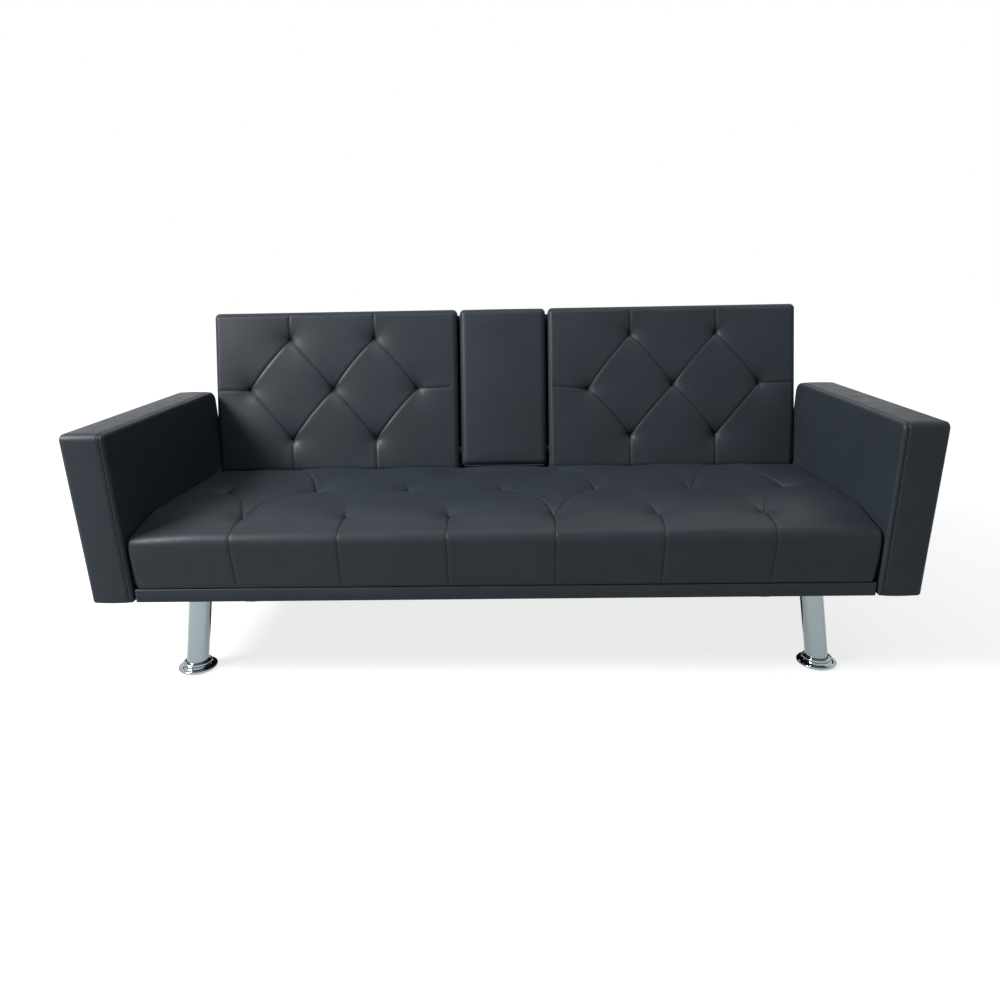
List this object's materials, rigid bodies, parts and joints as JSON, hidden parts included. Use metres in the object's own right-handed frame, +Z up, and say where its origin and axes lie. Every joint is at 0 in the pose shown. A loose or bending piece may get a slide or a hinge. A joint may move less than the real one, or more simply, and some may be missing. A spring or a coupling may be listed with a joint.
{
  "type": "futon sofa bed",
  "caption": "Click-clack sofa bed with tufted seat and split tufted back, slab arms, splayed chromed legs and a fold-down centre console with cup wells.",
  "frame": {"origin": "centre of the bounding box's bottom, on the floor under the middle of the sofa", "axes": "+X to the viewer's right from the front, -Y the front, +Z up"},
  "size_m": [1.6896, 0.732, 0.7553],
  "materials": {
    "leather": "soft sheen, fine grain, black faux leather",
    "chrome": "polished",
    "black_plastic": "fine texture",
    "zinc_steel": "zinc plated",
    "pine": "sawn",
    "plywood": "sanded",
    "lining_cloth": "matt non-woven"
  },
  "bodies": {
    "root": {"arm_bolt_front_left": "zinc_steel", "arm_bolt_front_right": "zinc_steel", "arm_bolt_rear_left": "zinc_steel", "arm_bolt_rear_right": "zinc_steel", "arm_cap_left": "black_plastic", "arm_cap_right": "black_plastic", "arm_cover_left": "leather", "arm_cover_right": "leather", "arm_frame_left": "pine", "arm_frame_right": "pine", "centre_beam": "pine", "dust_cover": "lining_cloth", "front_rail": "pine", "hinge_housing_left": "zinc_steel", "hinge_housing_right": "zinc_steel", "hinge_pin_left": "zinc_steel", "hinge_pin_right": "zinc_steel", "hinge_seat_plate_left": "zinc_steel", "hinge_seat_plate_right": "zinc_steel", "leg_board_front": "pine", "leg_board_rear": "pine", "leg_foot_front_left": "chrome", "leg_foot_front_right": "chrome", "leg_foot_rear_left": "chrome", "leg_foot_rear_right": "chrome", "leg_glide_front_left": "black_plastic", "leg_glide_front_right": "black_plastic", "leg_glide_rear_left": "black_plastic", "leg_glide_rear_right": "black_plastic", "leg_tube_front_left": "chrome", "leg_tube_front_right": "chrome", "leg_tube_rear_left": "chrome", "leg_tube_rear_right": "chrome", "rear_rail": "pine", "seat_band": "leather", "seat_cushion": "leather", "seat_deck": "plywood", "side_rail_left": "pine", "side_rail_right": "pine"},
    "backrest": {"back_bottom_rail": "pine", "back_console_post_left": "pine", "back_console_post_right": "pine", "back_cushion_left": "leather", "back_cushion_right": "leather", "back_end_post_left": "pine", "back_end_post_right": "pine", "back_rear_cover": "leather", "back_recess_panel": "leather", "back_top_rail": "pine", "console_bracket_left": "zinc_steel", "console_bracket_right": "zinc_steel", "hinge_back_plate_left": "zinc_steel", "hinge_back_plate_right": "zinc_steel", "hinge_stop_pin_left": "zinc_steel", "hinge_stop_pin_right": "zinc_steel"},
    "console": {"console_core": "pine", "console_cushion": "leather", "console_pin_left": "zinc_steel", "console_pin_right": "zinc_steel", "console_tray": "black_plastic"}
  },
  "joints": [
    {"name": "backrest_recline", "type": "hinge", "parent": "root", "child": "backrest", "pos_m": [0, 0.17723, 0.336], "axis": [-1, 0, 0], "range_deg": [0, 76]},
    {"name": "console_fold", "type": "hinge", "parent": "backrest", "child": "console", "pos_m": [0, 0.19219, 0.396], "axis": [1, 0, 0], "range_deg": [0, 104]}
  ]
}
